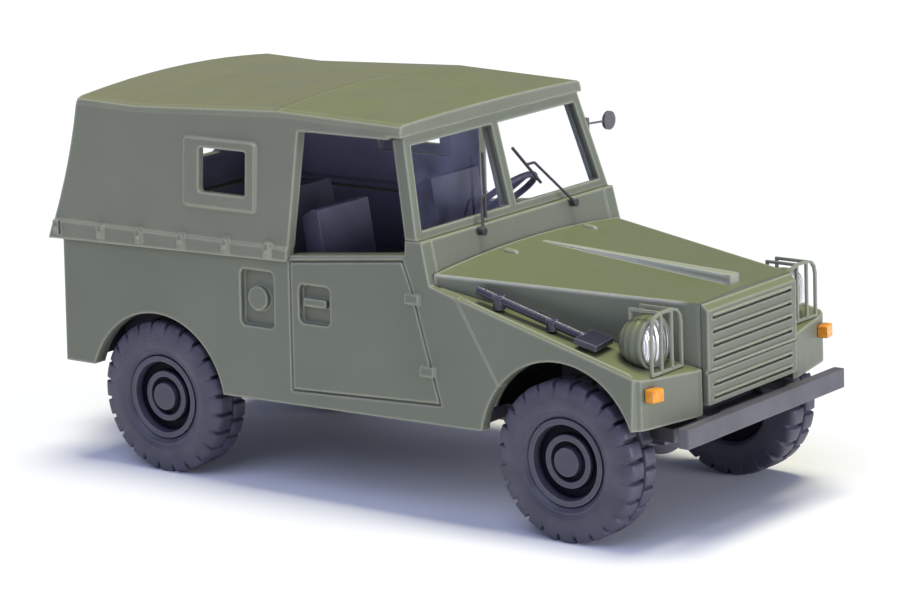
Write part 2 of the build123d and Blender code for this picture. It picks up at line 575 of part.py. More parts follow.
GUARD_X = NOSE_X - 0.67
GUARD_Y = (4.6, 7.2)
GUARD_Z = (fender_z(GUARD_X) + FIT, 11.5)
GUARD_BAR = 0.14
GUARD_ROUND = 0.8                               # radius of the cage's upper corners
BRACE_X = GUARD_X - 1.7
with BuildPart() as guard:
    low, top = GUARD_Z
    inner, outer = GUARD_Y
    turns = [radians(turn) for turn in (0, 30, 60, 90)]
    bend = [(GUARD_ROUND * (1 - cos(turn)), GUARD_ROUND * (1 - sin(turn))) for turn in turns]
    outer_bend = [(outer - in_by, top - down_by) for in_by, down_by in bend]
    inner_bend = [(inner + in_by, top - down_by) for in_by, down_by in reversed(bend)]
    with BuildSketch(across(GUARD_X)) as cage:
        Polygon((inner, low), (outer, low), *outer_bend, *inner_bend, align=None)
        offset(amount=-GUARD_BAR, mode=Mode.SUBTRACT)
        with GridLocations((outer - inner) / 3, 0, 2, 1):
            with Locations(((inner + outer) / 2, (low + top) / 2)):
                Rectangle(GUARD_BAR, top - low)
    extrude(to_extrude=cage.sketch, amount=GUARD_BAR)
    for n in (-1, 1):
        bar_y = (inner + outer) / 2 + n * (outer - inner) / 6
        side_bar = (bar_y - GUARD_BAR / 2, bar_y + GUARD_BAR / 2)
        block((BRACE_X, GUARD_X + GUARD_BAR), side_bar, (top - GUARD_BAR, top))
        block((BRACE_X, BRACE_X + GUARD_BAR), side_bar, (10.92, top))
both_sides(guard.part, "lamp_guard")

FACE_ANGLE = atan2(FENDER_PLAN[3][0] - FENDER_PLAN[4][0], FENDER_PLAN[4][1] - FENDER_PLAN[3][1])
with BuildPart() as indicator:
    with Locations(Pos(NOSE_X - 0.52, 7.4, 7.78) * Rot(0, 0, degrees(FACE_ANGLE)) * Pos(0.27, 0, 0)):
        Box(0.5, 0.72, 0.64)
    fillet(indicator.edges().group_by(Axis.Z)[-1], 0.1)
both_sides(indicator.part, "indicator")

with BuildPart() as tail_lamp:
    block((TUB_REAR_X - 0.3, TUB_REAR_X - FIT), (6.7, 7.6), (7.2, 8.6))
both_sides(tail_lamp.part, "tail_lamp")

# Fittings
def on_screen(y, z, out):
    """A point on the windscreen at y and z, standing out from it."""
    share = (z - SCREEN_LOW[2]) / (SCREEN_TOP[2] - SCREEN_LOW[2])
    return (SCREEN_LOW[0] + (SCREEN_TOP[0] - SCREEN_LOW[0]) * share + out, y, z)


MIRROR = (9.45, 16.87, 0.49)        # y, z and radius of the head
with BuildPart() as mirror_left:
    head_y, head_z, head_r = MIRROR
    stay = on_screen(screen_half((head_z - 0.3 - SCREEN_LOW[2]) / cos(SCREEN_LEAN)) + FIT, head_z, -0.35)
    block((stay[0] - 0.22, stay[0] + 0.22), (stay[1], stay[1] + 0.22), (head_z - 0.32, head_z + 0.4))
    rod((stay[0], stay[1] + 0.2, head_z + 0.05), (stay[0] + 0.25, head_y - 0.1, head_z), 0.06)
    with Locations(Pos(stay[0] + 0.25, head_y, head_z) * Rot(0, 90, 0)):
        Cylinder(head_r, 0.18)
write(mirror_left.part, "mirror_left")


# side, then y and z of pivot, elbow, arm end, blade tip and blade heel
WIPERS = (("left", (4.28, 13.6), (2.23, 15.93), (1.56, 15.93), (0.77, 16.89), (2.4, 14.89)),
          ("right", (-3.46, 13.55), (-2.6, 14.95), (-2.23, 15.05), (-1.64, 17.06), (-2.53, 14.03)))
for name, pivot, elbow, joint, tip, heel in WIPERS:
    with BuildPart() as wiper:
        rod(on_screen(*pivot, 0.36), on_screen(*pivot, 0.66), 0.2)
        rod(on_screen(*pivot, 0.55), on_screen(*elbow, 0.16), 0.07)
        rod(on_screen(*elbow, 0.16), on_screen(*joint, 0.14), 0.07)
        rod(on_screen(*tip, 0.14), on_screen(*heel, 0.14), 0.08)
    write(wiper.part, f"wiper_{name}")



def bonnet_y(x):
    """Half width over the bonnet's sides at x."""
    (x0, y0), (x1, y1) = BONNET_REAR[:2], BONNET_FRONT[:2]
    return y0 + (y1 - y0) * (x - x0) / (x1 - x0)


# x behind or ahead of the axle, clearance to the bonnet's side and lift of the grip, neck and tip
SPADE = ((-5.23, 0.49, 0.65), (0.57, 1.61, 0.4), (1.72, 1.8, 0.4))
with BuildPart() as spade:
    runs = [(FRONT_X + run, clearance, lift) for run, clearance, lift in SPADE]
    grip, neck, tip = [Vector(x, -bonnet_y(x) - clearance, fender_z(x) + lift) for x, clearance, lift in runs]
    rod(tuple(grip), tuple(neck), 0.24)
    with Locations(Plane(origin=neck, x_dir=tip - neck, z_dir=(0.256, 0, 0.967)).location):
        with Locations((0.5, 0, 0)):
            Box(1.2, 1.7, 0.3)
    for share in (0.2, 0.7):
        clip = grip + (neck - grip) * share
        rod((clip.X, clip.Y, fender_z(clip.X) + FIT + 0.08), (clip.X, clip.Y, clip.Z + 0.2), 0.3)
write(spade.part, "spade")
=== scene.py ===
"""Moulded 1:87 model of an army 4x4 car: finishes, small fittings, floor, lights and camera.

Lengths are millimetres in the car's frame (X ahead, Y left, Z up) unless a name says otherwise."""
import json
from math import cos, pi, radians, sin

import bpy
import numpy as np
from mathutils import Matrix, Vector


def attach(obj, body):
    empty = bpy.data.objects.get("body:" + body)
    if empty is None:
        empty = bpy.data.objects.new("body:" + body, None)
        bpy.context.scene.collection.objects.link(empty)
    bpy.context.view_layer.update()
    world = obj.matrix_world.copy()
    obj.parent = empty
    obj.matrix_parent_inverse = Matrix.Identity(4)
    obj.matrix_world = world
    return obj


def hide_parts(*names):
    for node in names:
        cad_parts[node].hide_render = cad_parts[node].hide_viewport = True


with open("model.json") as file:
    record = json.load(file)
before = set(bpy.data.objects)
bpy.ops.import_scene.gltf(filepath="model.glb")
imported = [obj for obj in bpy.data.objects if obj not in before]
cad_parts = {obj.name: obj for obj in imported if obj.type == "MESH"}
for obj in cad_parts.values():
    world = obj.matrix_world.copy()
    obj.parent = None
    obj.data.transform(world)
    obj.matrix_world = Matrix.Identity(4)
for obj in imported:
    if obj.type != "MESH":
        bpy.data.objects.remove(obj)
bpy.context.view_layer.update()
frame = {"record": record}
MM = 0.001
FRONT_AXLE = (12.73, 3.96)          # x and z of each hub line
REAR_AXLE = (-12.73, 3.96)
WHEEL_Y = 7.0                       # a wheel's middle plane
SPARE_HUB = (1.2, 9.3)              # y and z of the spare wheel's hub
SPARE_X = -21.12                    # the spare wheel's middle plane
RIB_X = (6.0, 17.25)                # the bonnet rib's ends
RIB_HALF = (0.12, 0.40)             # its half width at each end
RIB_SLACK = 0.03                    # how far its painted highlight tint reaches past its sides
BONNET_NOSE_X = (16.8, 17.4)        # the bonnet's painted corner highlights fade out over these
ROOF_SEAM_X = -4.55                 # the seam across the canvas roof
CABIN_ROOF_Z = (18.2, 18.4)         # a face above these that looks down is the roof's underside
CABIN_REAR_X = (-18.0, -17.0)       # a face behind these that looks ahead is the rear wall
LINING_X = (-18.5, -15.0)           # over these the cabin lining turns from dark to pale
LINING_Z = (8.5, 13.5)
EDGE_RISE = (0.06, 0.46)            # tilt of a rounded normal from flat to full corner
CREASE_RISE = (0.30, 0.85)          # share of the sky shut off from none to a full crease
BEVEL_SAMPLES = 4
CREASE_SAMPLES = 6

GREEN = (0.190, 0.206, 0.156)
GREEN_SHADE = (0.160, 0.176, 0.132)
# pale colours painted on rounded corners and on the bonnet rib as painted highlights
GREEN_HIGHLIGHT = (0.60, 0.62, 0.49)
BONNET_HIGHLIGHT = (0.86, 0.88, 0.74)
CANVAS = (0.222, 0.236, 0.180)
CANVAS_SHADE = (0.190, 0.203, 0.154)
# a paler copy of the body green, a painted highlight for the bonnet hinges and fender lines
PALE_HIGHLIGHT_GREEN = (0.34, 0.36, 0.27)
PALE_HIGHLIGHT_GREEN_SHADE = (0.28, 0.30, 0.22)
# warm olive tones painted on upward faces as painted overhead light; the tan one is behind the
# roof seam
TOP_LIT_OLIVE = (0.198, 0.219, 0.092)
TOP_LIT_OLIVE_DEEP = (0.170, 0.198, 0.076)
TOP_LIT_TAN = (0.222, 0.228, 0.120)
LINING = (0.620, 0.620, 0.810)
LINING_DARK = (0.090, 0.090, 0.130)
# near black painted shade for creases
PAINTED_CREASE_SHADE = (0.030, 0.033, 0.026)
BLACK = (0.0, 0.0, 0.0)


class Tone:
    """A shader value in a Python expression; every operator adds one Math node to its finish."""

    def __init__(self, finish, socket):
        self.finish = finish
        self.socket = socket

    def math(self, operation, first, second=0.0):
        sockets = {0: first, 1: second}
        return self.finish.node("ShaderNodeMath", {"operation": operation}, sockets)(0)

    def __add__(self, other):
        return self.math("ADD", self, other)

    def __radd__(self, other):
        return self.math("ADD", other, self)

    def __sub__(self, other):
        return self.math("SUBTRACT", self, other)

    def __rsub__(self, other):
        return self.math("SUBTRACT", other, self)

    def __mul__(self, other):
        return self.math("MULTIPLY", self, other)

    def __pow__(self, other):
        return self.math("POWER", self, other)

    def __abs__(self):
        return self.math("ABSOLUTE", self)

    def wave(self, pitch):
        """A sine that comes round once over a pitch."""
        return self.math("SINE", self * (2 * pi / pitch))

    def at_least(self, level):
        return self.math("MAXIMUM", self, level)

    def at_most(self, level):
        return self.math("MINIMUM", self, level)

    def ramp(self, start, end):
        """0 up to start, 1 from end, and a straight rise between them."""
        return ((self - start) * (1.0 / (end - start))).at_least(0.0).at_most(1.0)


class Finish:
    """The nodes of a new material, or of an owner such as the world: node() adds any node, and
    shell() or close() ends them in one surface."""

    def __init__(self, name, owner=None):
        self.owner = owner or bpy.data.materials.new(name)
        self.owner.use_nodes = True
        self.tree = self.owner.node_tree
        self.tree.nodes.clear()
        self.place = self.node("ShaderNodeTexCoord")("Object")

    def node(self, kind, settings=None, sockets=None):
        """Add a node: its settings first, then the value or link of each named or numbered
        socket."""
        made = self.tree.nodes.new(kind)
        for name, value in (settings or {}).items():
            setattr(made, name, value)
        for key, value in (sockets or {}).items():
            if isinstance(value, Tone):
                self.tree.links.new(value.socket, made.inputs[key])
            else:
                made.inputs[key].default_value = value
        return lambda key: Tone(self, made.outputs[key])

    def axes(self):
        """Object coordinates as three values."""
        split = self.node("ShaderNodeSeparateXYZ", {}, {0: self.place})
        return [split(n) * (1.0 / MM) for n in range(3)]

    def facing(self):
        """The face's own normal as three values."""
        normal = self.node("ShaderNodeTexCoord")("Normal")
        return self.node("ShaderNodeSeparateXYZ", {}, {0: normal})

    def upward(self, start, end):
        """How far a face looks up, 0 to start and 1 from end of its normal's rise."""
        return self.facing()(2).ramp(start, end)

    def grain(self, size, detail=2.0, stretch=(1.0, 1.0, 1.0)):
        """Noise around one half with lumps of a size, drawn out along the axes."""
        scale = tuple(1.0 / (size * MM * s) for s in stretch)
        spot = self.node("ShaderNodeMapping", {}, {"Vector": self.place, "Scale": scale})(0)
        sockets = {"Vector": spot, "Scale": 1.0, "Detail": detail}
        return self.node("ShaderNodeTexNoise", {}, sockets)("Fac")

    def mix(self, factor, low, high):
        """The colour a share of the way from one colour to another."""
        colours = {6: low, 7: high}
        for key, colour in colours.items():
            if not isinstance(colour, Tone):
                colours[key] = (*colour, 1.0)
        return self.node("ShaderNodeMix", {"data_type": "RGBA"}, {0: factor, **colours})(2)

    def corner(self, radius):
        """A normal rounded over a radius, and how sharp the corner is, 0 on a flat."""
        settings = {"samples": BEVEL_SAMPLES}
        rounded = self.node("ShaderNodeBevel", settings, {"Radius": radius * MM})(0)
        face = self.node("ShaderNodeNewGeometry")("Normal")
        settings = {"operation": "DOT_PRODUCT"}
        along = self.node("ShaderNodeVectorMath", settings, {0: rounded, 1: face})("Value")
        return rounded, ((1.0 - along).at_least(0.0) ** 0.5).ramp(*EDGE_RISE)

    def crease(self, reach):
        """How shut in a spot is by what stands within a reach, 0 in the open."""
        settings = {"samples": CREASE_SAMPLES}
        sky = self.node("ShaderNodeAmbientOcclusion", settings, {"Distance": reach * MM})("AO")
        return (1.0 - sky).ramp(*CREASE_RISE)

    def bump(self, height, depth, normal=None):
        """A normal tilted by a height whose full swing is a depth."""
        sockets = {"Height": height, "Strength": 1.0, "Distance": depth * MM}
        if normal:
            sockets["Normal"] = normal
        return self.node("ShaderNodeBump", {}, sockets)(0)

    def inside(self):
        """1 on faces that look into the cabin: to the centre plane, down from the roof or ahead
        from the rear."""
        x, y, z = self.axes()
        facing = self.facing()
        side = (facing(1) * y * -1.0).ramp(0.5, 1.5)
        under = (facing(2) * -1.0).ramp(0.3, 0.6) * z.ramp(*CABIN_ROOF_Z)
        rear = facing(0).ramp(0.4, 0.7) * (1.0 - x.ramp(*CABIN_REAR_X))
        return (side + under + rear).at_most(1.0)

    def lining(self):
        """The cabin's inner colour: dark at the back and below, paler above the seats."""
        x, _, z = self.axes()
        return self.mix(x.ramp(*LINING_X) * z.ramp(*LINING_Z), LINING_DARK, LINING)

    def shell(self, **sockets):
        """End in a Principled surface, its sockets named with low lines for spaces."""
        named = {}
        for key, value in sockets.items():
            named[key.replace("_", " ")] = value
        return self.close(self.node("ShaderNodeBsdfPrincipled", {}, named)(0))

    def close(self, surface, output="ShaderNodeOutputMaterial"):
        self.node(output, {"target": "ALL"}, {"Surface": surface})
        return self.owner


def moulded_green(name, base, shade, light, lined=False, ringed=False, ribbed=False):
    """Satin plastic: slow clouding, flow lines along the car, painted warm light on the tops,
    painted shade in creases, painted highlights on corners and fine pitting. Lined, its cabin side
    has the lining's colour; ringed, turned steps run round it; ribbed, the bonnet's rib gets a
    paler painted highlight and its nose has no painted corner highlights."""
    f = Finish(name)
    rounded, edge = f.corner(radius=0.3 if ribbed else 0.2)
    cloud = f.grain(size=5.0, detail=3.0)
    flow = f.grain(size=0.5, stretch=(6.0, 1.0, 1.0))
    pits = f.grain(size=0.09)
    colour = f.mix((cloud - 0.3) * 1.6 + (flow - 0.5) * 0.35, shade, base)
    # painted warm light: upward faces shift to olive
    colour = f.mix(f.upward(0.3, 0.9) * 0.7, colour, TOP_LIT_OLIVE_DEEP if ribbed else TOP_LIT_OLIVE)
    if ribbed:
        x, y, _ = f.axes()
        start, end = RIB_X
        widening = (RIB_HALF[1] - RIB_HALF[0]) / (end - start)
        half = RIB_HALF[0] + RIB_SLACK + (x - start).at_least(0.0) * widening
        along = x.ramp(start - 0.05, start) * (1.0 - x.ramp(end + 0.01, end + 0.03))
        # painted highlight: the rib's top is tinted paler
        colour = f.mix((half - abs(y)).ramp(0.0, RIB_SLACK) * along * 0.28, colour, light)
        edge = edge * (1.0 - x.ramp(*BONNET_NOSE_X)) * 1.25
    # painted shade: creases darkened by occlusion
    colour = f.mix(f.crease(reach=0.5) * 0.75, colour, PAINTED_CREASE_SHADE)
    # painted highlight on rounded corners
    colour = f.mix(edge * 0.76, colour, light)
    if lined:
        colour = f.mix(f.inside(), colour, f.lining())
    rough = 0.40 + (flow - 0.5) * 0.16 + (pits - 0.5) * 0.12 - edge * 0.1
    relief = pits + flow * 0.5
    if ringed:
        relief = relief + f.axes()[0].wave(pitch=0.42) * 4.0
    normal = f.bump(relief, depth=0.006, normal=rounded)
    return f.shell(Base_Color=colour, Roughness=rough, Normal=normal, Specular_IOR_Level=0.35)


def cloth_green(name, base, shade, light):
    """Plastic moulded with a cloth grain: two crossed thread waves, slubs, slack folds, a seam
    across the roof, painted warm light on the tops and painted highlights on corners."""
    f = Finish(name)
    rounded, edge = f.corner(radius=0.22)
    x, y, z = f.axes()
    warp = (x + y * 0.03).wave(pitch=0.16)
    weft = (y + z).wave(pitch=0.16)
    slub = f.grain(size=0.22, detail=3.0)
    cloud = f.grain(size=4.0, detail=3.0)
    fold = f.grain(size=3.2, detail=1.0, stretch=(1.0, 1.0, 2.6))
    colour = f.mix((cloud - 0.25) * 1.5 + (slub - 0.5) * 0.5, shade, base)
    # painted warm light on upward faces: tan behind the roof seam, olive ahead of it, clouded
    roof = f.mix(x.ramp(ROOF_SEAM_X - 0.2, ROOF_SEAM_X + 0.2), TOP_LIT_TAN, TOP_LIT_OLIVE)
    roof = f.mix((cloud - 0.35) * 1.2, roof, shade)
    colour = f.mix(f.upward(0.4, 0.9) * 0.85, colour, roof)
    # painted highlight on rounded corners
    colour = f.mix(edge * 0.8, colour, light)
    colour = f.mix(f.inside(), colour, f.lining())
    rough = 0.52 + (slub - 0.5) * 0.25
    seam = (1.0 - abs(x - ROOF_SEAM_X).ramp(0.05, 0.22)) * f.upward(0.4, 0.9)
    slack = f.bump(fold, depth=0.22, normal=rounded)
    weave = warp * 0.04 + weft * 0.04 + slub * 1.1 + seam * 2.0
    woven = f.bump(weave, depth=0.02, normal=slack)
    return f.shell(Base_Color=colour, Roughness=rough, Normal=woven, Specular_IOR_Level=0.3)


def tyre_black(name, hub, across):
    """Dark plastic with fine rings round the hub on the sidewall, dulled and dusted towards the
    tread."""
    f = Finish(name)
    rounded, edge = f.corner(radius=0.08)
    flat = f.axes()
    u, z = flat[across], flat[2]
    radius = ((u - hub[0]) ** 2.0 + (z - hub[1]) ** 2.0) ** 0.5
    sidewall = radius.ramp(2.2, 2.35) * (1.0 - radius.ramp(3.0, 3.25))
    rings = radius.wave(pitch=0.17) * sidewall
    pits = f.grain(size=0.12, detail=3.0)
    dust = f.grain(size=1.1, detail=3.0)
    colour = f.mix(dust.ramp(0.35, 0.75), (0.052, 0.051, 0.080), (0.080, 0.078, 0.116))
    # painted highlight on rounded corners
    colour = f.mix(edge * 0.5, colour, (0.125, 0.125, 0.155))
    rough = 0.40 + (pits - 0.5) * 0.2 + radius.ramp(3.3, 3.6) * 0.08
    normal = f.bump(rings * 0.15 + pits * 0.5, depth=0.016, normal=rounded)
    return f.shell(Base_Color=colour, Roughness=rough, Normal=normal, Specular_IOR_Level=0.5)


def rim_moulding(name, along, face):
    """Dark plastic whose raised rings are tyre grey and whose sunk rings are dull and painted near
    black as shade, by the depth along the axle from a named face, with painted highlights on
    corners."""
    f = Finish(name)
    rounded, edge = f.corner(radius=0.09)
    depth = abs(f.axes()[along]) - face
    cloud = f.grain(size=0.9, detail=3.0)
    pits = f.grain(size=0.1)
    grey = f.mix(cloud.ramp(0.3, 0.7), (0.050, 0.050, 0.076), (0.068, 0.068, 0.098))
    raised = depth.ramp(0.52, 0.70)
    # painted shade: sunk rings near black
    colour = f.mix(raised, (0.008, 0.008, 0.015), grey)
    # painted highlight on the corners of the raised rings
    colour = f.mix(edge * depth.ramp(0.45, 0.72) * 0.6, colour, (0.30, 0.30, 0.38))
    rough = 0.34 + (cloud - 0.5) * 0.16 + (pits - 0.5) * 0.1
    normal = f.bump(pits, depth=0.006, normal=rounded)
    shine = 0.04 + raised * 0.46
    return f.shell(Base_Color=colour, Roughness=rough, Normal=normal, Specular_IOR_Level=shine)


def dark_plastic(name, base, light, rough, highlight_share=0.5):
    """Dark moulded plastic: cloudy gloss, fine pitting and painted highlights on corners."""
    f = Finish(name)
    rounded, edge = f.corner(radius=0.09)
    cloud = f.grain(size=1.6, detail=3.0)
    pits = f.grain(size=0.1)
    shade = tuple(c * 0.72 for c in base)
    colour = f.mix(cloud.ramp(0.3, 0.7), shade, base)
    # painted highlight on rounded corners
    colour = f.mix(edge * highlight_share, colour, light)
    rough = rough + (cloud - 0.5) * 0.18 + (pits - 0.5) * 0.1
    normal = f.bump(pits, depth=0.006, normal=rounded)
    return f.shell(Base_Color=colour, Roughness=rough, Normal=normal)


def drawn_steel(name):
    """Bright pin steel: thin draw lines along the axle over a mottled polish."""
    f = Finish(name)
    lines = f.grain(size=0.05, stretch=(1.0, 30.0, 1.0))
    cloud = f.grain(size=0.8)
    colour = f.mix(cloud, (0.46, 0.46, 0.47), (0.62, 0.62, 0.63))
    normal = f.bump(lines, depth=0.003)
    return f.shell(Base_Color=colour, Metallic=1.0, Roughness=0.24 + lines * 0.2, Normal=normal)


def clear_plastic(name, sheen):
    """Clear moulding: see-through with a gloss that grows at a slant, faint haze in patches, and
    a share of the surroundings mirrored on top."""
    f = Finish(name)
    haze = f.grain(size=2.5)
    slant = f.node("ShaderNodeFresnel", {}, {"IOR": 1.3})(0)
    front = 1.0 - f.node("ShaderNodeNewGeometry")("Backfacing")
    smooth = {"Base Color": (0.04, 0.04, 0.05, 1.0), "Roughness": 0.05}
    gloss = f.node("ShaderNodeBsdfPrincipled", {}, smooth)(0)
    through = f.node("ShaderNodeBsdfTransparent", {}, {"Color": (0.98, 0.985, 0.99, 1.0)})(0)
    share = (slant * 0.5 + (haze - 0.45).at_least(0.0) * 0.08) * front
    pane = f.node("ShaderNodeMixShader", {}, {0: share, 1: through, 2: gloss})(0)
    blue = tuple(sheen * c for c in (0.80, 0.80, 1.0))
    tint = f.mix(haze.ramp(0.30, 0.65) * front, BLACK, blue)
    mirror = f.node("ShaderNodeBsdfAnisotropic", {}, {"Color": tint, "Roughness": 0.08})(0)
    return f.close(f.node("ShaderNodeAddShader", {}, {0: pane, 1: mirror})(0))


def lamp_glass(name, colour, deep, rough):
    """A glossy painted lens: moulded ribs, a darker heart and a clear coat."""
    f = Finish(name)
    rounded, _ = f.corner(radius=0.06)
    ribs = f.axes()[2].wave(pitch=0.22)
    mottle = f.grain(size=0.3)
    tint = f.mix(mottle.ramp(0.3, 0.7), deep, colour)
    normal = f.bump(ribs, depth=0.012, normal=rounded)
    return f.shell(Base_Color=tint, Roughness=rough + mottle * 0.1, Normal=normal,
                   Coat_Weight=0.6, Coat_Roughness=0.08)


def silver_lens(name):
    """Silvered lamp face: upright flutes and a bright coat over metal paint."""
    f = Finish(name)
    flutes = f.axes()[1].wave(pitch=0.28)
    mottle = f.grain(size=0.4)
    tint = f.mix(mottle, (0.62, 0.63, 0.66), (0.86, 0.87, 0.88))
    normal = f.bump(flutes, depth=0.02)
    return f.shell(Base_Color=tint, Metallic=0.75, Roughness=0.16 + mottle * 0.12, Normal=normal,
                   Coat_Weight=0.5, Coat_Roughness=0.05)


finishes = {
    "body_green": moulded_green("moulded_green", GREEN, GREEN_SHADE, GREEN_HIGHLIGHT),
    "canvas_green": cloth_green("cloth_green", CANVAS, CANVAS_SHADE, GREEN_HIGHLIGHT),
    "pale_highlight_green": moulded_green("pale_highlight_green", PALE_HIGHLIGHT_GREEN, PALE_HIGHLIGHT_GREEN_SHADE, GREEN_HIGHLIGHT),
    "axle_steel": drawn_steel("drawn_steel"),
    "clear_plastic": clear_plastic("clear_plastic", 0.0),
    "lamp_silver": silver_lens("silvered_lamp"),
    "indicator_orange": lamp_glass("orange_paint", (0.92, 0.40, 0.02), (0.80, 0.24, 0.01), 0.25),
    "lamp_red": lamp_glass("red_paint", (0.42, 0.02, 0.02), (0.25, 0.01, 0.01), 0.25),
    "chassis_grey": dark_plastic("chassis_grey", (0.124, 0.121, 0.140), (0.26, 0.26, 0.29), 0.45),
    "cabin_black": dark_plastic("cabin_black", (0.088, 0.088, 0.122), (0.26, 0.26, 0.33), 0.42),
}
wheel_finish = {
    "tyre_front": tyre_black("tyre_front", FRONT_AXLE, 0),
    "tyre_rear": tyre_black("tyre_rear", REAR_AXLE, 0),
    "spare_tyre": tyre_black("tyre_spare", SPARE_HUB, 1),
    "rim": rim_moulding("rim_dark", 1, WHEEL_Y),
    "spare_rim": rim_moulding("rim_spare", 0, -SPARE_X),
}
ringed_green = moulded_green("ringed_green", GREEN, GREEN_SHADE, GREEN_HIGHLIGHT, ringed=True)
wiper_black = dark_plastic("wiper_black", (0.040, 0.038, 0.040), (0.16, 0.16, 0.16), 0.42)
own_finish = {
    "body_tub": moulded_green("lined_green", GREEN, GREEN_SHADE, GREEN_HIGHLIGHT, lined=True),
    "bonnet": moulded_green("ribbed_green", GREEN, GREEN_SHADE, BONNET_HIGHLIGHT, ribbed=True),
    "windscreen_glass": clear_plastic("screen_plastic", 0.4),
    "headlamp_left": ringed_green,
    "headlamp_right": ringed_green,
    "mirror_left": dark_plastic("mirror_grey", (0.115, 0.115, 0.125), (0.36, 0.36, 0.38), 0.26),
    "wiper_left": wiper_black,
    "wiper_right": wiper_black,
    "spade": dark_plastic("spade_black", (0.040, 0.040, 0.066), (0.34, 0.34, 0.44), 0.22, 0.8),
}


def dress_nodes():
    """Give every CAD node its own finish or the one of its slot; tyres and rims take that of
    their axle."""
    for row in frame["record"]["subparts"]:
        node, slot = row["node"], row["material_slot"]
        finish = own_finish.get(node, finishes.get(slot))
        for start, wheel in wheel_finish.items():
            if node.startswith(start):
                finish = wheel
        thing = bpy.data.objects[node]
        for holder in thing.material_slots:
            holder.material = finish


dress_nodes()


def put(name, points, faces, finish, body):
    """A closed mesh from a vertex array and a face array, smooth, its faces turned so that its
    volume is positive, riding a body."""
    first, second, third, fourth = (points[faces[:, n]] for n in range(4))
    volume = np.sum(first * (np.cross(second, third) + np.cross(third, fourth)))
    turned = faces if volume > 0 else faces[:, ::-1]
    mesh = bpy.data.meshes.new(name)
    mesh.from_pydata((points * MM).tolist(), [], turned.tolist())
    mesh.shade_smooth()
    mesh.materials.append(finish)
    piece = bpy.data.objects.new(name, mesh)
    bpy.context.scene.collection.objects.link(piece)
    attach(piece, body)
    return piece


def grid_faces(rows, columns, round_rows=False, round_columns=False):
    """Four-cornered faces between neighbours of a grid of points, closed round where asked."""
    i, j = np.meshgrid(np.arange(rows - (not round_rows)),
                       np.arange(columns - (not round_columns)), indexing="ij")
    down, on = (i + 1) % rows, (j + 1) % columns
    corners = [i * columns + j, down * columns + j, down * columns + on, i * columns + on]
    return np.stack([c.ravel() for c in corners], axis=1)


# Half section of a tyre from the middle groove over the tread and sidewall to the bore:
# y and radius between the lugs, then y and radius on a lug
TYRE_HALF = np.array([
    (0.000, 3.500, 0.000, 3.500), (0.060, 3.500, 0.060, 3.500), (0.075, 3.550, 0.078, 3.600),
    (0.085, 3.610, 0.090, 3.900), (0.120, 3.645, 0.130, 3.950), (0.300, 3.660, 0.300, 3.960),
    (0.600, 3.660, 0.600, 3.960), (0.800, 3.660, 0.820, 3.952), (0.910, 3.655, 0.930, 3.920),
    (0.980, 3.635, 1.010, 3.840), (1.040, 3.570, 1.065, 3.700), (1.082, 3.460, 1.095, 3.520),
    (1.107, 3.345, 1.112, 3.370), (1.124, 3.248, 1.125, 3.260), (1.140, 3.120, 1.140, 3.120),
    (1.150, 2.980, 1.150, 2.980), (1.146, 2.840, 1.146, 2.840), (1.128, 2.700, 1.128, 2.700),
    (1.100, 2.590, 1.100, 2.590), (1.072, 2.520, 1.072, 2.520), (1.086, 2.480, 1.086, 2.480),
    (1.084, 2.420, 1.084, 2.420), (1.040, 2.360, 1.040, 2.360), (0.960, 2.250, 0.960, 2.250),
    (0.880, 2.180, 0.880, 2.180), (0.600, 2.172, 0.600, 2.172)])
LUGS = 24
LUG_EDGE = (6.15, 5.85, 5.45)       # half angle in degrees of a lug's foot, wall and rounded top
LUG_RISE = (0.0, 0.9, 1.0)          # share of the lug section at each of them


def tyre_surface():
    """A lathe round the Y axis: at each angle the section is the plain one moved towards the lug
    one by a mask that rises over a lug's wall; the two halves' lugs are half a pitch apart."""
    pitch = 360.0 / LUGS
    near = np.array([side * angle for side in (-1, 1) for angle in LUG_EDGE])
    lugs = [(near[:, None] + (np.arange(LUGS) + shift) * pitch) % 360.0 for shift in (0.0, 0.5)]
    turn = np.unique(np.round(np.concatenate([lug.ravel() for lug in lugs]), 4))

    def mask(shift):
        off = np.abs((turn - shift * pitch + pitch / 2) % pitch - pitch / 2)
        return np.interp(off, LUG_EDGE[::-1], LUG_RISE[::-1])

    halves = []
    for side, shift, rows in ((-1, 0.5, TYRE_HALF[:0:-1]), (1, 0.0, TYRE_HALF)):
        share = mask(shift)[:, None]
        y = side * (rows[:, 0] + (rows[:, 2] - rows[:, 0]) * share)
        radius = rows[:, 1] + (rows[:, 3] - rows[:, 1]) * share
        halves.append(np.stack([y, radius], axis=-1))
    y, radius = np.moveaxis(np.concatenate(halves, axis=1), -1, 0)
    angle = np.radians(turn)[:, None]
    points = np.stack([radius * np.cos(angle), y, radius * np.sin(angle)], axis=-1)
    return points.reshape(-1, 3), grid_faces(*y.shape, True, True)


def fit_tyres():
    """One fine tyre for each tyre node, its outer side away from the car."""
    points, faces = tyre_surface()
    for end, hub in (("front", FRONT_AXLE), ("rear", REAR_AXLE)):
        for side, y in (("left", WHEEL_Y), ("right", -WHEEL_Y)):
            placed = points * (1.0, np.sign(y), 1.0) + (hub[0], y, hub[1])
            piece = put(f"fine_tyre_{end}_{side}", placed, faces, wheel_finish[f"tyre_{end}"],
                        f"{end}_wheelset")
            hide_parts(f"tyre_{end}_{side}")
    placed = points[:, [1, 0, 2]] * (-1.0, 1.0, 1.0) + (SPARE_X, *SPARE_HUB)
    piece = put("fine_spare_tyre", placed, faces, wheel_finish["spare_tyre"], "car")
    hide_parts("spare_tyre")


BEAD_STEPS = 41
BEAD_SIDES = 20


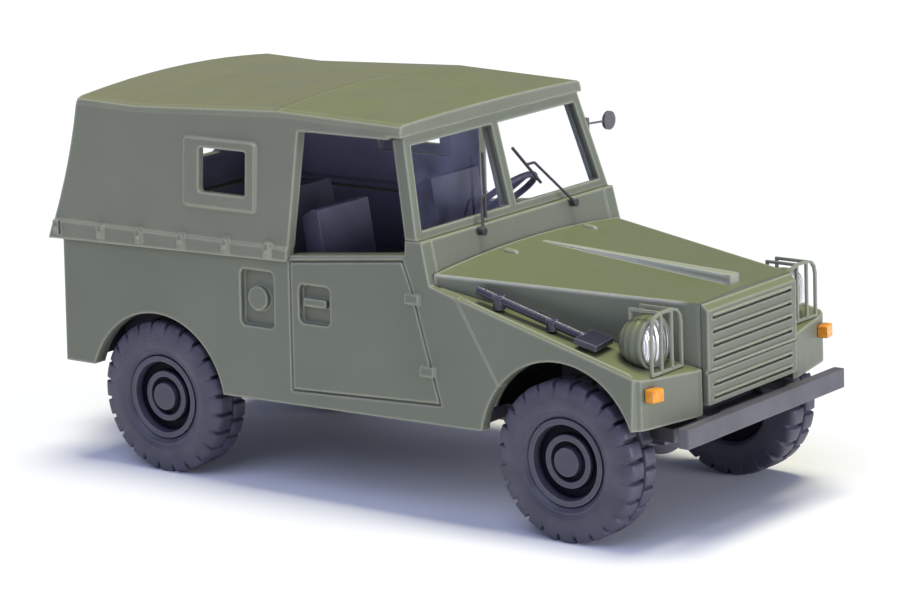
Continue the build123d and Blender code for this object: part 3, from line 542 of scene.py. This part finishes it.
def bead(name, start, end, across, rise, taper, finish):
    """A closed bar from start to end: an ellipse on two half-axis vectors, carried along and drawn
    in at both ends by the root of one less a power of the way from the middle."""
    way, turn = np.meshgrid(np.linspace(-1, 1, BEAD_STEPS),
                            np.linspace(0, 2 * pi, BEAD_SIDES, endpoint=False), indexing="ij")
    way, turn = way[..., None], turn[..., None]
    start, end, across, rise = (np.array(v, float) for v in (start, end, across, rise))
    swell = np.sqrt(np.clip(1 - way ** taper, 0, 1))
    section = across * np.cos(turn) + rise * np.sin(turn)
    points = (start + end) / 2 + (end - start) / 2 * way + swell * section
    put(name, points.reshape(-1, 3), grid_faces(BEAD_STEPS, BEAD_SIDES, False, True),
        finishes[finish], "car")


# side and middle of each bonnet hinge, then half its length and the drop over that
HINGES = (("right", 6.05, -2.75, 12.47), ("left", 5.95, 4.05, 12.41))
HINGE_REACH = (0.42, 0.05)
GRILLE_FACE_X = 18.25
# z of the lip over each grille slot, and its half length
GRILLE_LIPS = ((10.86, 3.5), (10.17, 3.5), (9.50, 3.5), (8.81, 3.5), (7.61, 3.5), (6.97, 3.5),
               (8.24, 3.8))
# x, y and z of a fender line's ends on the left side
FENDER_LINE = ((6.75, 7.86, 11.25), (16.75, 7.94, 8.61))


def small_mouldings():
    """Bonnet hinges, the lips over the grille slots and the raised line along each front
    fender."""
    reach, drop = HINGE_REACH
    for side, x, y, z in HINGES:
        # the hinges wear the paler green, a painted highlight
        bead(f"bonnet_hinge_{side}", (x - reach, y, z + drop), (x + reach, y, z - drop),
             (0, 0.15, 0), (0, 0, 0.2), 6, "pale_highlight_green")
    for count, (z, half) in enumerate(GRILLE_LIPS):
        bead(f"grille_lip_{count}", (GRILLE_FACE_X, -half, z), (GRILLE_FACE_X, half, z),
             (0, 0, 0.075), (0.11, 0, 0), 40, "body_green")
    for side, y in (("right", -1), ("left", 1)):
        start, end = (np.array(point) * (1, y, 1) for point in FENDER_LINE)
        # the fender lines wear the paler green, a painted highlight
        bead(f"fender_line_{side}", start, end, (0, 0.1, 0), (0.03, 0, 0.09), 60, "pale_highlight_green")


# Section of a strap's rivet from the middle of its seat over the flange to the top of its dome
RIVET = np.array([(0.0, -0.03), (0.17, -0.03), (0.175, 0.01), (0.14, 0.03), (0.125, 0.06),
                  (0.09, 0.09), (0.045, 0.105), (0.0, 0.11)])
RIVET_SIDES = 16
STRAPS_X = (-19.18, -16.14, -13.47, -10.62, -7.66, -4.9)
STRAP_Y = 8.45
STRAP_Z = (12.5, 0.015)             # height at the origin and its rise along x


def strap_rivets():
    """The section lathed round the Y axis at each hem strap, outwards on both sides."""
    turn = np.linspace(0, 2 * pi, RIVET_SIDES, endpoint=False)
    radius, height = RIVET[:, None, 0], RIVET[:, None, 1]
    faces = grid_faces(len(RIVET), RIVET_SIDES, False, True)
    for side, y in (("right", -1), ("left", 1)):
        for count, x in enumerate(STRAPS_X):
            z = STRAP_Z[0] + STRAP_Z[1] * x
            points = np.stack([x + radius * np.cos(turn), y * (STRAP_Y + height) + 0 * turn,
                               z + radius * np.sin(turn)], axis=-1)
            put(f"strap_rivet_{side}_{count}", points.reshape(-1, 3), faces,
                finishes["body_green"], "car")


fit_tyres()
small_mouldings()
strap_rivets()
SURROUND = {"Color": (0.66, 0.71, 1.0, 1.0), "Strength": 0.22}
WHITE = {"Color": (1.0, 1.0, 1.0, 1.0)}
# name, heading, strength, colour and spread in degrees
LAMPS = (
    ("overhead", (0.03, 0.08, 1.0), 2.4, (1.0, 0.955, 0.71), 24.0),
    ("front_fill", (1.0, 0.10, 0.03), 3.2, (0.90, 0.92, 1.0), 36.0),
    ("side_fill", (0.20, -1.0, 1.30), 1.2, (0.62, 0.68, 1.0), 50.0),
)
FLOOR_REACH_M = 1.5
FLOOR_GLOW = {"Color": (0.55, 0.60, 1.0, 1.0), "Strength": 0.008}


def studio_floor():
    """A pale level floor: white to the camera where lit, and it keeps the shadow."""
    f = Finish("studio_floor")
    path = f.node("ShaderNodeLightPath")
    seen = path("Is Camera Ray").at_least(path("Is Glossy Ray"))
    seen = seen.at_least(path("Is Transmission Ray"))
    paper = f.mix(f.grain(size=30.0, detail=1.0), (0.90, 0.92, 0.97), (0.92, 0.94, 0.98))
    matt = f.node("ShaderNodeBsdfDiffuse", {}, {"Color": paper})(0)
    glow = f.node("ShaderNodeEmission", {}, FLOOR_GLOW)(0)
    lit = f.node("ShaderNodeAddShader", {}, {0: matt, 1: glow})(0)
    paint = f.close(f.node("ShaderNodeMixShader", {}, {0: seen, 1: matt, 2: lit})(0))
    corners = np.array([(-1, -1, 0), (1, -1, 0), (1, 1, 0), (-1, 1, 0)], float) * FLOOR_REACH_M
    mesh = bpy.data.meshes.new("floor")
    mesh.from_pydata(corners.tolist(), [], [(0, 1, 2, 3)])
    mesh.materials.append(paint)
    floor = bpy.data.objects.new("floor", mesh)
    bpy.context.scene.collection.objects.link(floor)


def lamp(name, heading, strength, colour, spread):
    """A distant soft lamp shining from a heading towards the origin."""
    light = bpy.data.lights.new(name, "SUN")
    light.energy = strength
    light.color = colour
    light.angle = radians(spread)
    thing = bpy.data.objects.new(name, light)
    thing.rotation_euler = Vector(heading).to_track_quat("Z", "Y").to_euler()
    bpy.context.scene.collection.objects.link(thing)


def studio_light():
    """Cool even surround, white to the camera and through panes, under a warm overhead lamp
    and two cool lamps from the front and the side."""
    world = bpy.data.worlds.new("studio")
    bpy.context.scene.world = world
    f = Finish("studio", world)
    path = f.node("ShaderNodeLightPath")
    seen = path("Is Camera Ray").at_least(path("Is Transmission Ray"))
    fill = f.node("ShaderNodeBackground", {}, SURROUND)(0)
    white = f.node("ShaderNodeBackground", {}, WHITE)(0)
    swap = f.node("ShaderNodeMixShader", {}, {0: seen, 1: fill, 2: white})(0)
    f.close(swap, "ShaderNodeOutputWorld")
    for settings in LAMPS:
        lamp(*settings)


CAMERA_TURN, CAMERA_RISE, CAMERA_ROLL = radians(37.945), radians(12.771), radians(-2.072)
CAMERA_AIM = (-0.027, 0.0, 8.866)
CAMERA_AWAY = 189.238
SENSOR_MM = 36.0
LENS_MM = 149.244
CLIP_M = (0.01, 10.0)


def photo_camera():
    """The photograph's view: a long lens ahead of the car's right side, a little above the
    bonnet."""
    turn, rise, roll = CAMERA_TURN, CAMERA_RISE, CAMERA_ROLL
    back = Vector((sin(turn) * cos(rise), -cos(turn) * cos(rise), sin(rise)))
    level = Vector((cos(turn), sin(turn), 0.0))
    above = back.cross(level)
    right = level * cos(roll) + above * sin(roll)
    up = above * cos(roll) - level * sin(roll)
    place = Vector(CAMERA_AIM) * MM + back * (CAMERA_AWAY * MM)
    lens = bpy.data.cameras.new("photo_camera")
    lens.sensor_width = SENSOR_MM
    lens.lens = LENS_MM
    lens.clip_start, lens.clip_end = CLIP_M
    thing = bpy.data.objects.new("photo_camera", lens)
    rows = [(right[n], up[n], back[n], place[n]) for n in range(3)]
    thing.matrix_world = Matrix(rows + [(0, 0, 0, 1)])
    bpy.context.scene.collection.objects.link(thing)
    bpy.context.scene.camera = thing


studio_floor()
studio_light()
photo_camera()
bpy.context.scene.view_settings.view_transform = "Standard"
